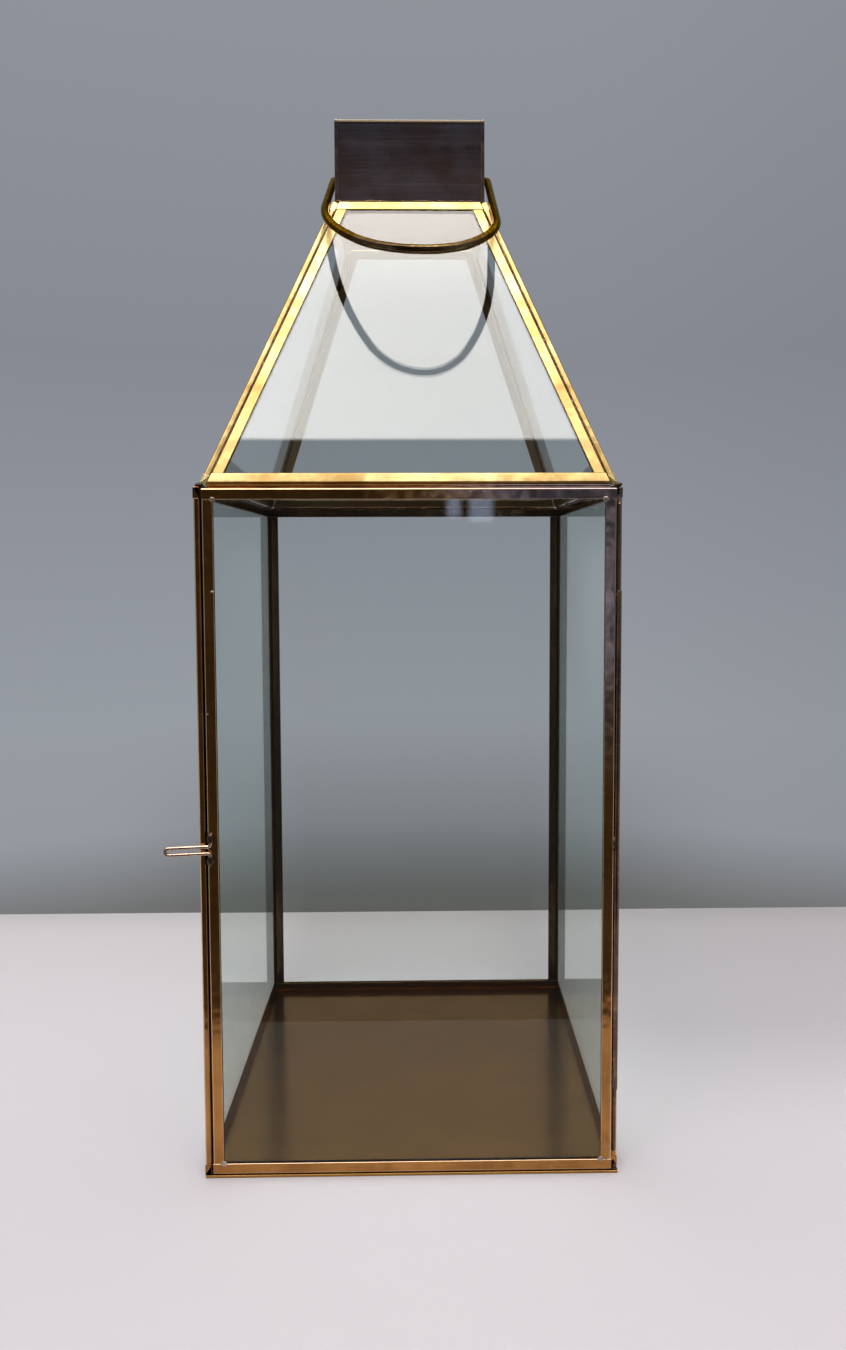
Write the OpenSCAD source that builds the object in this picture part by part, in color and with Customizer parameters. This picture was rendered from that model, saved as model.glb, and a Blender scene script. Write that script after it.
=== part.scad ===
// Candle lantern: a box of glass panes in folded brass cames, a hinged front door, a
// truncated pyramid roof, an open chimney and a wire bail.
// The origin is the middle of the underside of the base plate. The door faces -Y, +Z is up.

/* [Body] */
// Width and depth over the corners
body_w = 185; // [170:1:200]
// Height of the glass box from the table to the eaves
body_h = 307; // [280:0.5:340]
// Thickness of the brass base plate
base_t = 1.2; // [0.8:0.1:1.6]

/* [Roof] */
// How far the eaves stand in from the corners of the box
eave_in = 2.5; // [0:0.5:4]
// Height of the solder bed between the box and the eaves
eave_bed = 0.6; // [0.1:0.1:1]
// Rise from the eaves to the open top
roof_rise = 138; // [125:1:150]
// Width across the open top
throat_w = 73; // [72:0.5:76]

/* [Glass and cames] */
// Thickness of every pane
glass_t = 2; // [1.8:0.1:2.4]
// Thickness of the brass sheet that a came is folded from
sheet_t = 0.4; // [0.3:0.05:0.5]
// Width of the face that a came shows
came_face = 4.8; // [4:0.1:6]
// How far the crosswise cames stand proud of the uprights that they lap
proud = 0.15; // [0.05:0.05:0.2]

/* [Chimney] */
// Height of the chimney
chimney_h = 38.4; // [34:0.1:44]
// Thickness of its brass plates
plate_t = 0.6; // [0.5:0.1:0.8]
// Width of the flanges that lap the front and back plates
flange_w = 1.8; // [1.4:0.1:3]
// Height of the folded hem round its top
hem_h = 1.3; // [1:0.1:2]

/* [Door hinge] */
// Outer radius of the hinge tube
tube_r = 1.3; // [1.2:0.05:1.4]
// Radius of the rod that the tube turns on
rod_r = 0.75; // [0.6:0.05:0.8]
// Height of the tube's lower end
tube_low = 38.5; // [20:0.5:60]
// Height of the tube's upper end
tube_high = 262; // [200:1:270]
// Gap round the door
door_gap = 0.65; // [0.5:0.05:0.8]

/* [Pull loop] */
// Height of the loop above the table
pull_z = 149.5; // [100:0.5:200]
// Reach of the loop from its feet to its tip
pull_reach = 20; // [14:0.5:26]
// Radius of its wire
pull_wire_r = 0.8; // [0.6:0.1:1]
// Radius of its round tip, to the middle of the wire
pull_tip_r = 1.5; // [1.2:0.1:3]
// How far it is turned forward, clear of the side panel
pull_turn = 8; // [7:1:14]

/* [Bail] */
// Radius of the bail's wire
bail_wire_r = 1.9; // [1.5:0.1:2]
// Half the width between the bail's legs, to the middle of the wire
bail_half_w = 39.5; // [39:0.5:42]
// Reach from the pivot to the tip, to the middle of the wire
bail_reach = 122; // [120:1:124]
// Mean length of the straight legs before the arch begins
bail_leg = 64; // [60:1:66]
// How much the hand-bent right leg is longer, and the left one shorter, than the mean
bail_skew = 12; // [8:1:12]
// Sideways lean of its tip
bail_lean = 7; // [4:0.5:7]
// Angle that the bail droops below level while it rests on the roof
bail_droop = 33.5; // [30:0.5:33.5]
// Height of the pivot above the chimney's foot
bail_pivot = 24.1; // [24.1:0.1:28]

/* [Hidden] */
$fn = 64;
half_w = body_w / 2;
came_t = glass_t + 2 * sheet_t;
// Stile faces lie this far out, so that the proud rails come to the full width
face_out = half_w - proud;
inner_out = face_out - came_t;
contact = 0.05;

hinge_x = half_w - 1.8;
hinge_y = -(half_w - 1.5);
bore_r = rod_r + 0.05;
rod_low = 10;
rod_high = body_h - 7;
rod_bend_r = 1.2;
hinge_panel_gap = 0.5;
side_right_front = hinge_y + tube_r + hinge_panel_gap;

eave_half = half_w - eave_in;
slope_run = eave_half - throat_w / 2;
roof_lean = atan(slope_run / roof_rise);
slope_len = norm([slope_run, roof_rise]);
eave_z = body_h + eave_bed + came_t * sin(roof_lean);
// The front and back roof panes stand between the side ones
roof_inset = (came_t / sqrt(1 - pow(sin(roof_lean), 4)) + 2 * contact) * norm([1, slope_run / slope_len]);

chimney_half = throat_w / 2 - 0.7;
// The plates stand on the sloping webs of the top rails
chimney_z = eave_z + roof_rise - (throat_w / 2 - chimney_half) * tan(roof_lean) + contact;
hem_lift = plate_t * 0.6;

pull_foot_x = -(inner_out - door_gap - 1.5);
pull_foot_y = -(face_out + pull_wire_r);
pull_foot_len = 4;
pull_bend_r = 1.2;

bail_z = chimney_z + bail_pivot;
bail_hole_r = bail_wire_r + 0.08;
bail_bend_r = 3.5;
bail_stub_end = chimney_half - plate_t - 2.5;
// The long side arcs of the bail meet its tip arcs on a 3-4-5 slope
bail_meet = atan(3 / 4);

brass = [0.80, 0.60, 0.28];
dark_brass = [0.32, 0.25, 0.20];
pale_wire = [0.80, 0.68, 0.60];
glass_tint = [0.75, 0.84, 0.82, 0.35];

// A pane is [name, side, out, foot height, lean, left end, right end, taper, rise].
// side counts quarter turns from the front, lean is degrees back from upright, the ends are
// as seen from outside, and taper is how far each slanted edge comes in by the top.
PANES = [
    ["side_left", 3, face_out, base_t, 0, -face_out, face_out, 0, body_h - base_t],
    ["side_right", 1, face_out, base_t, 0, side_right_front, face_out, 0, body_h - base_t],
    ["back", 2, face_out, base_t, 0, contact - inner_out, inner_out - contact, 0, body_h - base_t],
    ["roof_front", 0, eave_half, eave_z, roof_lean, roof_inset - eave_half, eave_half - roof_inset,
        slope_run, slope_len],
    ["roof_right", 1, eave_half, eave_z, roof_lean, -eave_half, eave_half, slope_run, slope_len],
    ["roof_back", 2, eave_half, eave_z, roof_lean, roof_inset - eave_half, eave_half - roof_inset,
        slope_run, slope_len],
    ["roof_left", 3, eave_half, eave_z, roof_lean, -eave_half, eave_half, slope_run, slope_len],
    ["door", 0, face_out, base_t + door_gap, 0, door_gap - inner_out, hinge_x - tube_r - contact, 0,
        body_h - base_t - 2 * door_gap]
];
PIECES = ["glass", "rail_bottom", "rail_top", "stile_left", "stile_right"];

function pane_half(p) = (p[6] - p[5]) / 2;
function pane_taper(p) = p[7];
function pane_rise(p) = p[8];

// Distance from a pane's middle to its edge at a height up the pane, less a margin
function edge_x(p, up, margin) =
    pane_half(p) - pane_taper(p) * up / pane_rise(p) - margin * norm([1, pane_taper(p) / pane_rise(p)]);

// The band of a pane between two heights, its slanted ends moved in by a margin
function band(p, low, high, margin) = [
    [-edge_x(p, low, margin), low],
    [edge_x(p, low, margin), low],
    [edge_x(p, high, margin), high],
    [-edge_x(p, high, margin), high]
];

// The strip along a pane's right-hand edge between two heights
function edge_strip(p, low, high, wide) = [
    [edge_x(p, low, 0), low],
    [edge_x(p, high, 0), high],
    [edge_x(p, high, wide), high],
    [edge_x(p, low, wide), low]
];

// Puts children in a pane's own plane: x to the right, y up the pane, z = 0 its stile faces
module in_pane(p) {
    rotate([0, 0, 90 * p[1]])
        translate([0, -p[2], p[3]])
            rotate([90 - p[4], 0, 0])
                translate([(p[5] + p[6]) / 2, 0, 0])
                    children();
}

module glass_sheet(p) {
    translate([0, 0, -sheet_t - glass_t])
        linear_extrude(glass_t)
            polygon(band(p, sheet_t, pane_rise(p) - sheet_t, sheet_t));
}

// A folded came over an outline, open along the glass that it grips
module came(p, outline, lift) {
    difference() {
        translate([0, 0, -came_t])
            linear_extrude(came_t + lift)
                polygon(outline);
        glass_sheet(p);
    }
}

module pane_glass(p) {
    color(glass_tint) in_pane(p) glass_sheet(p);
}

module rail(p, low) {
    color(brass) in_pane(p) came(p, band(p, low, low + came_face, 0), proud);
}

module stile(p, flip) {
    strip = edge_strip(p, came_face, pane_rise(p) - came_face, came_face);
    color(brass) in_pane(p) mirror([flip, 0, 0]) came(p, strip, 0);
}

module pane_piece(p, piece) {
    if (piece == "glass") pane_glass(p);
    if (piece == "rail_bottom") rail(p, 0);
    if (piece == "rail_top") rail(p, pane_rise(p) - came_face);
    if (piece == "stile_left") stile(p, 1);
    if (piece == "stile_right") stile(p, 0);
}

module base_plate() {
    color(dark_brass)
        translate([-face_out, -face_out, 0])
            cube([2 * face_out, 2 * face_out, base_t]);
}

// A front or back chimney plate, which sits behind the flanges, with its hem folded outward
module chimney_front() {
    inside = chimney_half - plate_t;
    hem_half = chimney_half - flange_w - contact;
    color(dark_brass) translate([0, -inside, chimney_z]) {
        translate([-inside, 0, 0])
            cube([2 * inside, plate_t, chimney_h]);
        translate([-hem_half, -hem_lift, chimney_h - hem_h])
            cube([2 * hem_half, plate_t, hem_h]);
    }
}

// A side chimney plate, with its two flanges, its hem folded inward and the bail's hole
module chimney_side() {
    inside = chimney_half - plate_t;
    hem_half = inside - 2 * plate_t;
    color(dark_brass) difference() {
        translate([0, 0, chimney_z]) union() {
            translate([inside, -chimney_half, 0])
                cube([plate_t, 2 * chimney_half, chimney_h]);
            for (y = [-chimney_half, inside])
                translate([chimney_half - flange_w, y, 0])
                    cube([flange_w, plate_t, chimney_h]);
            translate([inside - hem_lift, -hem_half, chimney_h - hem_h])
                cube([plate_t, 2 * hem_half, hem_h]);
        }
        translate([0, 0, bail_z])
            rotate([0, 90, 0])
                cylinder(r = bail_hole_r, h = 2 * chimney_half);
    }
}

// A round wire bent to an arc in the XY plane, about the origin, from +X towards +Y
module wire_arc(arc_r, wire_r, angle) {
    rotate_extrude(angle = angle)
        translate([arc_r, 0])
            circle(r = wire_r);
}

// The rod's upper half: a straight length whose end is bent back to the side panel
module rod_half(reach) {
    foot_len = side_right_front - hinge_y - rod_bend_r;
    cylinder(r = rod_r, h = reach);
    translate([0, rod_bend_r, reach]) {
        rotate([90, 0, -90]) wire_arc(rod_bend_r, rod_r, 90);
        translate([0, 0, rod_bend_r])
            rotate([-90, 0, 0])
                cylinder(r = rod_r, h = foot_len);
    }
}

module hinge_rod() {
    middle = (rod_low + rod_high) / 2;
    reach = (rod_high - rod_low) / 2 - rod_bend_r;
    color(dark_brass) translate([hinge_x, hinge_y, middle]) {
        rod_half(reach);
        mirror([0, 0, 1]) rod_half(reach);
    }
}

module hinge_tube() {
    color(brass) translate([hinge_x, hinge_y, tube_low]) difference() {
        cylinder(r = tube_r, h = tube_high - tube_low);
        translate([0, 0, -1])
            cylinder(r = bore_r, h = tube_high - tube_low + 2);
    }
}

// One leg of the pull loop: a foot up the door stile, a bend, a leg and half the round tip
module pull_half() {
    leg_end = pull_reach - pull_wire_r - pull_tip_r;
    translate([0, 0, pull_tip_r + pull_bend_r]) {
        cylinder(r = pull_wire_r, h = pull_foot_len);
        translate([-pull_bend_r, 0, 0])
            rotate([-90, 0, 0])
                wire_arc(pull_bend_r, pull_wire_r, 90);
    }
    translate([-leg_end, 0, pull_tip_r])
        rotate([0, 90, 0])
            cylinder(r = pull_wire_r, h = leg_end - pull_bend_r);
    translate([-leg_end, 0, 0])
        rotate([90, 0, 180])
            wire_arc(pull_tip_r, pull_wire_r, 90);
}

module pull_loop() {
    color(pale_wire)
        translate([pull_foot_x, pull_foot_y, pull_z])
            rotate([0, 0, pull_turn]) {
                pull_half();
                mirror([0, 0, 1]) pull_half();
            }
}

// A quarter turn of bail wire, cut at the meeting angle: sign 1 keeps what is below it
module bail_arc(arc_r, sign) {
    difference() {
        wire_arc(arc_r, bail_wire_r, 90);
        rotate([0, 0, bail_meet])
            translate([0, sign * arc_r, 0])
                cube([4 * arc_r, 2 * arc_r, 4 * bail_wire_r], center = true);
    }
}

// Half of the bail in its own plane, y along its reach: a stub that turns in the chimney
// plate, a bend, a straight leg, a long side arc and its share of the tip
module bail_half(lean, leg) {
    arch_h = bail_reach - leg;
    spread = bail_half_w - lean;
    // Both radii follow from the arcs being tangent where they meet
    step = (arch_h - spread) / (cos(bail_meet) + sin(bail_meet) - 1);
    tip_r = arch_h - step * sin(bail_meet);
    side_r = tip_r + step;
    translate([bail_stub_end, 0, 0])
        rotate([0, 90, 0])
            cylinder(r = bail_wire_r, h = bail_half_w - bail_bend_r - bail_stub_end);
    translate([bail_half_w - bail_bend_r, bail_bend_r, 0])
        rotate([0, 0, -90])
            wire_arc(bail_bend_r, bail_wire_r, 90);
    translate([bail_half_w, bail_bend_r, 0])
        rotate([-90, 0, 0])
            cylinder(r = bail_wire_r, h = leg - bail_bend_r);
    translate([bail_half_w - side_r, leg, 0])
        bail_arc(side_r, 1);
    translate([lean, bail_reach - tip_r, 0])
        bail_arc(tip_r, -1);
}

module bail() {
    color(dark_brass)
        translate([0, 0, bail_z])
            rotate([180 + bail_droop, 0, 0]) {
                bail_half(bail_lean, bail_leg + bail_skew);
                mirror([1, 0, 0]) bail_half(-bail_lean, bail_leg - bail_skew);
            }
}

base_plate();
for (p = PANES)
    for (piece = PIECES)
        pane_piece(p, piece);
chimney_front();
mirror([0, 1, 0]) chimney_front();  // chimney_back
chimney_side();  // chimney_right
mirror([1, 0, 0]) chimney_side();  // chimney_left
hinge_rod();
hinge_tube();
pull_loop();
bail();
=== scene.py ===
"""Candle lantern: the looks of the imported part.

Metres, with the origin under the middle of the base and the door to -Y.
"""

import math

import bmesh
import bpy
from mathutils import Matrix, Vector, noise


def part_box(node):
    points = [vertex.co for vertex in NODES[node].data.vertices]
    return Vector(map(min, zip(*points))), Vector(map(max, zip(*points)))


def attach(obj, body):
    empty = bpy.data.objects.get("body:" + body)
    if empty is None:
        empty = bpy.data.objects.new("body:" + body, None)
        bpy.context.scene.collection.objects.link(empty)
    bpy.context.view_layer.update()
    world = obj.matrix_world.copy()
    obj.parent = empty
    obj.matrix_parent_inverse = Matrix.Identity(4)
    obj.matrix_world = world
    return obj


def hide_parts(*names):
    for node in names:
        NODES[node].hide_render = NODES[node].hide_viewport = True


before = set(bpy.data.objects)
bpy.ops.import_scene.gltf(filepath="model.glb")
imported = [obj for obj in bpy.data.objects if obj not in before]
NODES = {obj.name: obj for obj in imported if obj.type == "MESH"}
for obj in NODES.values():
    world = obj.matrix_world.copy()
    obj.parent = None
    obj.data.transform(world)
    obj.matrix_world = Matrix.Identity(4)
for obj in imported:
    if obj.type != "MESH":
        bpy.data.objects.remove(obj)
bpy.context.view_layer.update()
MM = 0.001
scene = bpy.context.scene
scene.view_settings.view_transform = "Standard"

# ---------------------------------------------------------------- sizes that come from the CAD
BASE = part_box("base_plate")
DOOR_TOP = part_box("door_rail_top")
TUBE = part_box("hinge_tube")
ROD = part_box("hinge_rod")
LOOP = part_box("pull_loop")
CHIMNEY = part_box("chimney_right")
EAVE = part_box("roof_right_rail_bottom")
BODY_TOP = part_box("side_left_rail_top")[1].z
FACE_OUT = BASE[1].x
CAME_T = 2.8 * MM
CAME_FACE = 4.8 * MM
SHEET_T = 0.4 * MM
GLASS_T = 2.0 * MM


# ---------------------------------------------------------------- node helpers
def rgb(r, g, b):
    return (r, g, b, 1.0)


class Tree:
    """A shader tree with short calls for making and joining nodes."""

    def __init__(self, tree):
        self.tree = tree
        tree.nodes.clear()

    def add(self, kind, **settings):
        made = self.tree.nodes.new(kind)
        for key, value in settings.items():
            setattr(made, key, value)
        return made

    def link(self, source, target):
        self.tree.links.new(source, target)

    def feed(self, socket, value):
        if isinstance(value, bpy.types.NodeSocket):
            self.link(value, socket)
        else:
            socket.default_value = value

    def math(self, how, a, b=0.0, c=0.0, clamp=False):
        made = self.add("ShaderNodeMath", operation=how, use_clamp=clamp)
        for socket, value in zip(made.inputs, (a, b, c)):
            self.feed(socket, value)
        return made.outputs[0]

    def vector(self, how, a, b=(0, 0, 0), out="Vector"):
        made = self.add("ShaderNodeVectorMath", operation=how)
        self.feed(made.inputs[0], a)
        self.feed(made.inputs[1], b)
        return made.outputs[out]

    def mix(self, amount, a, b, how="MIX"):
        made = self.add("ShaderNodeMix", data_type="RGBA", blend_type=how)
        self.feed(made.inputs["Factor"], amount)
        self.feed(made.inputs["A"], a)
        self.feed(made.inputs["B"], b)
        return made.outputs["Result"]

    def noise(self, coords, scale, detail=2.0, rough=0.5):
        made = self.add("ShaderNodeTexNoise")
        self.feed(made.inputs["Vector"], coords)
        made.inputs["Scale"].default_value = scale
        made.inputs["Detail"].default_value = detail
        made.inputs["Roughness"].default_value = rough
        return made.outputs["Fac"]

    def span(self, value, low, high, to_low=0.0, to_high=1.0):
        made = self.add("ShaderNodeMapRange", interpolation_type="SMOOTHSTEP")
        self.feed(made.inputs["Value"], value)
        ends = {"From Min": low, "From Max": high, "To Min": to_low, "To Max": to_high}
        for name, number in ends.items():
            self.feed(made.inputs[name], number)
        return made.outputs["Result"]

    def place(self, coords):
        made = self.add("ShaderNodeSeparateXYZ")
        self.link(coords, made.inputs[0])
        return made.outputs

    def bump(self, height, strength, distance, normal=None):
        made = self.add("ShaderNodeBump")
        made.inputs["Strength"].default_value = strength
        made.inputs["Distance"].default_value = distance
        self.feed(made.inputs["Height"], height)
        if normal is not None:
            self.link(normal, made.inputs["Normal"])
        return made.outputs["Normal"]

    def let_through(self, amount, shader, out, tint):
        """Mixes the shader with a tinted clear one."""
        clear = self.add("ShaderNodeBsdfTransparent")
        clear.inputs["Color"].default_value = tint
        both = self.add("ShaderNodeMixShader")
        self.link(amount, both.inputs["Fac"])
        self.link(shader.outputs["BSDF"], both.inputs[1])
        self.link(clear.outputs["BSDF"], both.inputs[2])
        self.link(both.outputs["Shader"], out.inputs["Surface"])


WHITE = rgb(1.0, 1.0, 1.0)


def grey(level):
    return rgb(level, level, level)


def new_material(name):
    made = bpy.data.materials.new(name)
    made.use_nodes = True
    tree = Tree(made.node_tree)
    shader = tree.add("ShaderNodeBsdfPrincipled")
    out = tree.add("ShaderNodeOutputMaterial")
    tree.link(shader.outputs["BSDF"], out.inputs["Surface"])
    return made, tree, shader, out


def object_coords(tree):
    return tree.add("ShaderNodeTexCoord").outputs["Object"]


# ---------------------------------------------------------------- materials
# Tone of the cames' inner faces: partly their dark patina, partly painted shade inside the lantern
INNER_PATINA_AND_SHADE = rgb(0.080, 0.056, 0.032)
# Violet-grey of the painted sheen on the upper right of the front
PAINTED_SHEEN = rgb(0.33, 0.29, 0.33)
STREAK_STRETCH = (0.03, 0.03, 0.03)
FOOT_DARK = 70.0 * MM


def brass(
    name, along, dark, mid, bright, fold, rough, rim, wave=1.0, mirror_xy=False, foot=None, violet_sheen=False
):
    """Drawn and patinated brass.

    Streaks run along one direction. The folds and the inner faces have their own tones, which the
    came meshes mark with the "fold" and "inner" attributes.
    """
    made, tree, shader, _ = new_material(name)
    coords = object_coords(tree)
    if mirror_xy:
        coords = tree.vector("ABSOLUTE", coords)
    axis = Vector(along).normalized()
    up = tree.vector("DOT_PRODUCT", coords, axis, out="Value")
    scaled = tree.add("ShaderNodeVectorMath", operation="SCALE")
    scaled.inputs[0].default_value = axis
    tree.link(up, scaled.inputs["Scale"])
    across = tree.vector("SUBTRACT", coords, scaled.outputs["Vector"])
    stretched = tree.add("ShaderNodeVectorMath", operation="MULTIPLY_ADD")
    tree.link(scaled.outputs["Vector"], stretched.inputs[0])
    stretched.inputs[1].default_value = STREAK_STRETCH
    tree.link(across, stretched.inputs[2])
    streak = tree.noise(stretched.outputs["Vector"], 1500.0, 3.0, 0.6)
    patina = tree.noise(coords, 38.0, 4.0, 0.62)
    cloud = tree.noise(coords, 210.0, 3.0, 0.6)
    speck = tree.noise(coords, 900.0, 2.0, 0.5)
    edge = tree.add("ShaderNodeAttribute", attribute_name="fold").outputs["Fac"]
    inner = tree.add("ShaderNodeAttribute", attribute_name="inner").outputs["Fac"]
    worn = tree.math("MULTIPLY", edge, tree.span(cloud, 0.22, 0.50, 0.6, 1.0), clamp=True)
    tone = tree.span(patina, 0.36, 0.66)
    colour = tree.mix(tone, dark, mid)
    colour = tree.mix(tree.math("MULTIPLY", tree.span(cloud, 0.45, 0.8), 0.25), colour, bright)
    colour = tree.mix(tree.math("MULTIPLY", worn, 0.9), colour, fold)
    colour = tree.mix(tree.math("MULTIPLY", tree.span(speck, 0.66, 0.74), 0.4), colour, dark)
    # Inner faces darkened: partly patina, partly painted shade
    colour = tree.mix(tree.math("MULTIPLY", inner, 0.92), colour, INNER_PATINA_AND_SHADE)
    place = tree.place(coords)
    if foot is not None:
        near = tree.span(place["Z"], foot + FOOT_DARK, foot)
        colour = tree.mix(tree.math("MULTIPLY", near, 0.75), colour, dark)
    if violet_sheen:
        # Painted sheen: the upper right of the front is tinted a patchy violet-grey, as a painted reflection
        right = tree.span(place["X"], -0.01, 0.07)
        front = tree.span(place["Y"], 0.0, -0.08)
        upper = tree.span(place["Z"], 0.16, 0.25)
        sheen_area = tree.math("MULTIPLY", tree.math("MULTIPLY", right, front), upper)
        patchy = tree.span(patina, 0.25, 0.55, 0.55, 0.85)
        colour = tree.mix(tree.math("MULTIPLY", sheen_area, patchy), colour, PAINTED_SHEEN)
    streaked = tree.mix(1.0, colour, tree.mix(streak, grey(0.72), grey(1.25)), "MULTIPLY")
    tree.link(streaked, shader.inputs["Base Color"])
    shader.inputs["Metallic"].default_value = 1.0
    shader.inputs["Specular Tint"].default_value = rim
    spread = tree.math("MULTIPLY_ADD", cloud, 0.12, rough - 0.06)
    tree.link(tree.math("MULTIPLY_ADD", streak, 0.10, spread), shader.inputs["Roughness"])
    dent = tree.noise(coords, 70.0, 2.0, 0.5)
    normal = tree.bump(dent, 0.5 * wave, 0.9 * MM)
    normal = tree.bump(streak, 0.12, 0.05 * MM, normal)
    tree.link(normal, shader.inputs["Normal"])
    return made


RUBBED_EDGE = rgb(0.55, 0.40, 0.20)
RIM_TONE = rgb(0.72, 0.60, 0.42)
# How far below the rim its bright lip ends and is full, and how far down the sheet grows warmer
LIP_END = 1.2 * MM
LIP_FULL = 0.6 * MM
WARM_REACH = 38 * MM


def sheet_bronze(name, stretch, dark, mid, bright, rough, fine=1300.0, depth=1.0, rim=None, front_half=None):
    """Darkened sheet brass with a brushed finish.

    The strokes are noise, scaled by stretch on each axis: a small number makes them long. A rim is
    the height of a bright folded edge, and front_half is half the depth of a sheet that gets a painted
    reflection, darker at the back and brighter towards the door.
    """
    made, tree, shader, _ = new_material(name)
    coords = object_coords(tree)
    drawn = tree.vector("MULTIPLY", coords, stretch)
    streak = tree.noise(drawn, fine, 4.0, 0.65)
    broad = tree.noise(drawn, fine * 0.16, 3.0, 0.6)
    cloud = tree.noise(coords, 34.0, 4.0, 0.6)
    rounded = tree.add("ShaderNodeBevel", samples=4)
    rounded.inputs["Radius"].default_value = 0.8 * MM
    flat = tree.add("ShaderNodeNewGeometry").outputs["Normal"]
    turned = tree.vector("DOT_PRODUCT", rounded.outputs["Normal"], flat, out="Value")
    edge = tree.span(turned, 0.995, 0.88)
    colour = tree.mix(tree.span(cloud, 0.35, 0.68), dark, mid)
    colour = tree.mix(tree.math("MULTIPLY", tree.span(broad, 0.45, 0.75), 0.5), colour, bright)
    colour = tree.mix(tree.math("MULTIPLY", edge, 0.3), colour, RUBBED_EDGE)
    place = tree.place(coords)
    if rim is not None:
        lip = tree.span(place["Z"], rim - LIP_END, rim - LIP_FULL)
        downward = tree.span(place["Z"], rim, rim - WARM_REACH)
        fade = tree.mix(downward, rgb(0.72, 0.76, 0.82), rgb(1.38, 1.26, 1.16))
        colour = tree.mix(1.0, colour, fade, "MULTIPLY")
        colour = tree.mix(tree.math("MULTIPLY", lip, 0.9), colour, RIM_TONE)
    if front_half is not None:
        # Painted reflection: the sheet is darker at the back and brighter towards the door
        painted_reflection = tree.span(place["Y"], front_half, -front_half)
        colour = tree.mix(1.0, colour, tree.mix(painted_reflection, grey(0.90), grey(1.20)), "MULTIPLY")
    brushed = tree.mix(streak, grey(1 - 0.4 * depth), grey(1 + 0.4 * depth))
    tree.link(tree.mix(1.0, colour, brushed, "MULTIPLY"), shader.inputs["Base Color"])
    shader.inputs["Metallic"].default_value = 1.0
    spread = tree.math("MULTIPLY_ADD", broad, 0.16 * depth, rough - 0.05 * depth)
    tree.link(spread, shader.inputs["Roughness"])
    normal = tree.bump(cloud, 0.35 * depth, 1.2 * MM)
    normal = tree.bump(streak, 0.25 * depth, 0.05 * MM, normal)
    tree.link(normal, shader.inputs["Normal"])
    return made


def wire_metal(name, dark, mid, bright, rough, rim=rgb(0.8, 0.68, 0.5)):
    """Round wire with a rubbed patina."""
    made, tree, shader, _ = new_material(name)
    coords = object_coords(tree)
    patina = tree.noise(coords, 60.0, 4.0, 0.6)
    fine = tree.noise(coords, 650.0, 3.0, 0.6)
    colour = tree.mix(tree.span(patina, 0.36, 0.66), dark, mid)
    colour = tree.mix(tree.math("MULTIPLY", tree.span(fine, 0.5, 0.8), 0.5), colour, bright)
    tree.link(colour, shader.inputs["Base Color"])
    shader.inputs["Metallic"].default_value = 1.0
    shader.inputs["Specular Tint"].default_value = rim
    tree.link(tree.math("MULTIPLY_ADD", fine, 0.14, rough - 0.07), shader.inputs["Roughness"])
    normal = tree.bump(patina, 0.3, 0.5 * MM)
    tree.link(tree.bump(fine, 0.12, 0.08 * MM, normal), shader.inputs["Normal"])
    return made


def solder_metal(name, dark, mid, rubbed):
    """Cast tin solder with the patina in its hollows and rubbed high spots."""
    made, tree, shader, _ = new_material(name)
    coords = object_coords(tree)
    lump = tree.noise(coords, 420.0, 3.0, 0.6)
    tint = tree.noise(coords, 90.0, 3.0, 0.6)
    colour = tree.mix(tree.span(tint, 0.35, 0.7), dark, mid)
    colour = tree.mix(tree.span(lump, 0.60, 0.74), colour, rubbed)
    tree.link(colour, shader.inputs["Base Color"])
    shader.inputs["Metallic"].default_value = 0.9
    tree.link(tree.math("MULTIPLY_ADD", lump, 0.25, 0.24), shader.inputs["Roughness"])
    tree.link(tree.bump(lump, 0.5, 0.25 * MM), shader.inputs["Normal"])
    return made


def pane_glass(name, tint, ior):
    """Clear float glass with a slight green cast. Light passes it without a hard shadow."""
    made, tree, shader, out = new_material(name)
    shader.inputs["Base Color"].default_value = tint
    shader.inputs["Transmission Weight"].default_value = 1.0
    shader.inputs["Roughness"].default_value = 0.0
    shader.inputs["IOR"].default_value = ior
    uneven = tree.noise(object_coords(tree), 9.0, 1.0, 0.4)
    tree.link(tree.bump(uneven, 0.12, 0.4 * MM), shader.inputs["Normal"])
    path = tree.add("ShaderNodeLightPath")
    tree.let_through(path.outputs["Is Shadow Ray"], shader, out, rgb(0.93, 0.96, 0.945))
    return made


# ---------------------------------------------------------------- the roof's geometry
PROUD = 0.15 * MM
EAVE_HALF = FACE_OUT + PROUD - 2.5 * MM
THROAT_HALF = 36.5 * MM
RUN = EAVE_HALF - THROAT_HALF
RISE = 138.0 * MM
HIP_ALONG = (-RUN, -RUN, RISE)
LEAN = math.atan2(RUN, RISE)
SLOPE_LEN = math.hypot(RUN, RISE)
EAVE_Z = EAVE[0].z + CAME_T * math.sin(LEAN)
INSET = EAVE_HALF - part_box("roof_front_rail_bottom")[1].x
QUARTERS = [Matrix.Rotation(math.radians(90 * q), 3, "Z") for q in range(4)]

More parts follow.
